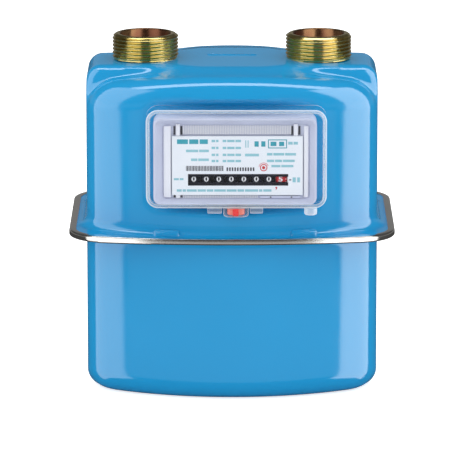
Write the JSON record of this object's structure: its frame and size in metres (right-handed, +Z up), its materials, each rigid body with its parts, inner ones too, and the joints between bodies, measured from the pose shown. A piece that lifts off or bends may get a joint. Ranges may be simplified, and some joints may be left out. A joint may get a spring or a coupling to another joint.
{
  "type": "gas meter",
  "caption": "Domestic diaphragm gas meter: pressed two-part case held by a clamp band, threaded top connections, mechanical index under a clear cover, diaphragm unit inside.",
  "frame": {"origin": "middle of the meter at the level of the surface it stands on", "axes": "+Z up along the connections, +X from the inlet to the outlet, the index faces -Y"},
  "size_m": [0.206, 0.168, 0.223],
  "materials": {
    "case_paint": "gloss sky-blue powder coat",
    "rubber": "moulded nitrile",
    "stainless": "bright rolled stainless",
    "zinc_yellow": "yellow passivated zinc",
    "clear_cover": "clear polycarbonate",
    "clear_seal": "clear moulded plastic",
    "tray_plastic": "moulded pale grey",
    "plate_plastic": "white printed plate",
    "seal_red": "red seal insert",
    "wheel_black": "black number drum",
    "wheel_red": "red number drum",
    "gear_plastic": "natural acetal",
    "bright_steel": "drawn steel",
    "aluminium": "die cast and sheet aluminium",
    "unit_plastic": "glass filled moulding",
    "brass": "stamped brass",
    "diaphragm": "coated fabric diaphragm",
    "valve_plastic": "phenolic moulding"
  },
  "bodies": {
    "root": {"upper_case": "case_paint", "lower_case": "case_paint", "flange_gasket": "rubber", "clamp_band": "stainless", "inlet_boss": "zinc_yellow", "outlet_boss": "zinc_yellow", "index_cover": "clear_cover", "index_tray": "tray_plastic", "index_faceplate": "plate_plastic", "index_screws": "bright_steel", "seal_plug": "clear_seal", "seal_core": "seal_red", "cover_peg": "clear_seal", "wheel_axle": "bright_steel", "pinion_axle": "bright_steel", "shaft_bush": "aluminium", "measuring_frame": "unit_plastic", "front_chamber_cover": "aluminium", "rear_chamber_cover": "aluminium", "front_diaphragm": "diaphragm", "rear_diaphragm": "diaphragm", "flag_bushes": "gear_plastic", "valve_plate": "valve_plastic", "crank_bridge": "aluminium", "outlet_tube": "aluminium", "outlet_seal": "rubber", "chamber_screws": "bright_steel"},
    "number_wheel_1_body": {"number_wheel_1": "wheel_black"},
    "number_wheel_2_body": {"number_wheel_2": "wheel_black"},
    "number_wheel_3_body": {"number_wheel_3": "wheel_black"},
    "number_wheel_4_body": {"number_wheel_4": "wheel_black"},
    "number_wheel_5_body": {"number_wheel_5": "wheel_black"},
    "number_wheel_6_body": {"number_wheel_6": "wheel_black"},
    "number_wheel_7_body": {"number_wheel_7": "wheel_black"},
    "number_wheel_8_body": {"number_wheel_8": "wheel_red"},
    "transfer_pinion_1_body": {"transfer_pinion_1": "gear_plastic"},
    "transfer_pinion_2_body": {"transfer_pinion_2": "gear_plastic"},
    "transfer_pinion_3_body": {"transfer_pinion_3": "gear_plastic"},
    "transfer_pinion_4_body": {"transfer_pinion_4": "gear_plastic"},
    "transfer_pinion_5_body": {"transfer_pinion_5": "gear_plastic"},
    "transfer_pinion_6_body": {"transfer_pinion_6": "gear_plastic"},
    "transfer_pinion_7_body": {"transfer_pinion_7": "gear_plastic"},
    "index_drive": {"index_shaft": "bright_steel", "index_pinion": "gear_plastic", "contrate_wheel": "gear_plastic"},
    "front_pan_body": {"front_pan": "aluminium"},
    "rear_pan_body": {"rear_pan": "aluminium"},
    "front_flag_set": {"front_flag": "aluminium", "front_arm": "aluminium"},
    "rear_flag_set": {"rear_flag": "aluminium", "rear_arm": "aluminium"},
    "front_link_body": {"front_link": "brass"},
    "rear_link_body": {"rear_link": "brass"},
    "crank_set": {"rotary_valve": "valve_plastic", "crank": "bright_steel", "crank_pinion": "gear_plastic"}
  },
  "joints": [
    {"name": "crank_turn", "type": "hinge", "parent": "root", "child": "crank_set", "pos_m": [0.0371, -0.026, 0.12], "axis": [0, 0, 1], "continuous": true},
    {"name": "index_drive_turn", "type": "hinge", "parent": "root", "child": "index_drive", "pos_m": [0.0371, -0.05, 0.14315], "axis": [0, 1, 0], "continuous": true},
    {"name": "number_wheel_1_turn", "type": "hinge", "parent": "root", "child": "number_wheel_1_body", "pos_m": [-0.0238, -0.0703, 0.14315], "axis": [1, 0, 0], "continuous": true},
    {"name": "number_wheel_2_turn", "type": "hinge", "parent": "root", "child": "number_wheel_2_body", "pos_m": [-0.016, -0.0703, 0.14315], "axis": [1, 0, 0], "continuous": true},
    {"name": "number_wheel_3_turn", "type": "hinge", "parent": "root", "child": "number_wheel_3_body", "pos_m": [-0.0082, -0.0703, 0.14315], "axis": [1, 0, 0], "continuous": true},
    {"name": "number_wheel_4_turn", "type": "hinge", "parent": "root", "child": "number_wheel_4_body", "pos_m": [-0.0004, -0.0703, 0.14315], "axis": [1, 0, 0], "continuous": true},
    {"name": "number_wheel_5_turn", "type": "hinge", "parent": "root", "child": "number_wheel_5_body", "pos_m": [0.0074, -0.0703, 0.14315], "axis": [1, 0, 0], "continuous": true},
    {"name": "number_wheel_6_turn", "type": "hinge", "parent": "root", "child": "number_wheel_6_body", "pos_m": [0.0152, -0.0703, 0.14315], "axis": [1, 0, 0], "continuous": true},
    {"name": "number_wheel_7_turn", "type": "hinge", "parent": "root", "child": "number_wheel_7_body", "pos_m": [0.023, -0.0703, 0.14315], "axis": [1, 0, 0], "continuous": true},
    {"name": "number_wheel_8_turn", "type": "hinge", "parent": "root", "child": "number_wheel_8_body", "pos_m": [0.0308, -0.0703, 0.14315], "axis": [1, 0, 0], "continuous": true},
    {"name": "transfer_pinion_1_turn", "type": "hinge", "parent": "root", "child": "transfer_pinion_1_body", "pos_m": [-0.0199, -0.0703, 0.15015], "axis": [1, 0, 0], "continuous": true},
    {"name": "transfer_pinion_2_turn", "type": "hinge", "parent": "root", "child": "transfer_pinion_2_body", "pos_m": [-0.0121, -0.0703, 0.15015], "axis": [1, 0, 0], "continuous": true},
    {"name": "transfer_pinion_3_turn", "type": "hinge", "parent": "root", "child": "transfer_pinion_3_body", "pos_m": [-0.0043, -0.0703, 0.15015], "axis": [1, 0, 0], "continuous": true},
    {"name": "transfer_pinion_4_turn", "type": "hinge", "parent": "root", "child": "transfer_pinion_4_body", "pos_m": [0.0035, -0.0703, 0.15015], "axis": [1, 0, 0], "continuous": true},
    {"name": "transfer_pinion_5_turn", "type": "hinge", "parent": "root", "child": "transfer_pinion_5_body", "pos_m": [0.0113, -0.0703, 0.15015], "axis": [1, 0, 0], "continuous": true},
    {"name": "transfer_pinion_6_turn", "type": "hinge", "parent": "root", "child": "transfer_pinion_6_body", "pos_m": [0.0191, -0.0703, 0.15015], "axis": [1, 0, 0], "continuous": true},
    {"name": "transfer_pinion_7_turn", "type": "hinge", "parent": "root", "child": "transfer_pinion_7_body", "pos_m": [0.0269, -0.0703, 0.15015], "axis": [1, 0, 0], "continuous": true},
    {"name": "front_flag_swing", "type": "hinge", "parent": "root", "child": "front_flag_set", "pos_m": [-0.058, -0.041, 0.064], "axis": [0, 0, 1], "range_deg": [-8, 8]},
    {"name": "rear_flag_swing", "type": "hinge", "parent": "root", "child": "rear_flag_set", "pos_m": [0.058, 0.041, 0.064], "axis": [0, 0, 1], "range_deg": [-8, 8]},
    {"name": "front_link_turn", "type": "hinge", "parent": "front_flag_set", "child": "front_link_body", "pos_m": [-0.0476, -0.00289, 0.1617], "axis": [0, 0, 1], "range_deg": [-8.5, 8.5]},
    {"name": "rear_link_turn", "type": "hinge", "parent": "rear_flag_set", "child": "rear_link_body", "pos_m": [0.02021, 0.0295, 0.1672], "axis": [0, 0, 1], "range_deg": [-8.5, 8.5]},
    {"name": "front_pan_slide", "type": "slide", "parent": "root", "child": "front_pan_body", "axis": [0, 1, 0], "range_m": [-0.0075, 0.0075]},
    {"name": "rear_pan_slide", "type": "slide", "parent": "root", "child": "rear_pan_body", "axis": [0, 1, 0], "range_m": [-0.0075, 0.0075]}
  ],
  "couplings": [
    {"joint": "index_drive_turn", "follows": "crank_turn", "ratio": -0.25},
    {"joint": "number_wheel_1_turn", "follows": "crank_turn", "ratio": -0.0000000125},
    {"joint": "number_wheel_2_turn", "follows": "crank_turn", "ratio": -0.000000125},
    {"joint": "number_wheel_3_turn", "follows": "crank_turn", "ratio": -0.00000125},
    {"joint": "number_wheel_4_turn", "follows": "crank_turn", "ratio": -0.0000125},
    {"joint": "number_wheel_5_turn", "follows": "crank_turn", "ratio": -0.000125},
    {"joint": "number_wheel_6_turn", "follows": "crank_turn", "ratio": -0.00125},
    {"joint": "number_wheel_7_turn", "follows": "crank_turn", "ratio": -0.0125},
    {"joint": "number_wheel_8_turn", "follows": "crank_turn", "ratio": -0.125},
    {"joint": "transfer_pinion_1_turn", "follows": "crank_turn", "ratio": 0.00000003125},
    {"joint": "transfer_pinion_2_turn", "follows": "crank_turn", "ratio": 0.0000003125},
    {"joint": "transfer_pinion_3_turn", "follows": "crank_turn", "ratio": 0.000003125},
    {"joint": "transfer_pinion_4_turn", "follows": "crank_turn", "ratio": 0.00003125},
    {"joint": "transfer_pinion_5_turn", "follows": "crank_turn", "ratio": 0.0003125},
    {"joint": "transfer_pinion_6_turn", "follows": "crank_turn", "ratio": 0.003125},
    {"joint": "transfer_pinion_7_turn", "follows": "crank_turn", "ratio": 0.03125},
    {"joint": "front_link_turn", "follows": "front_flag_swing", "ratio": -1},
    {"joint": "rear_link_turn", "follows": "rear_flag_swing", "ratio": -1},
    {"joint": "front_pan_slide", "follows": "front_flag_swing", "m_per_rad": 0.052},
    {"joint": "rear_pan_slide", "follows": "rear_flag_swing", "m_per_rad": -0.052}
  ]
}
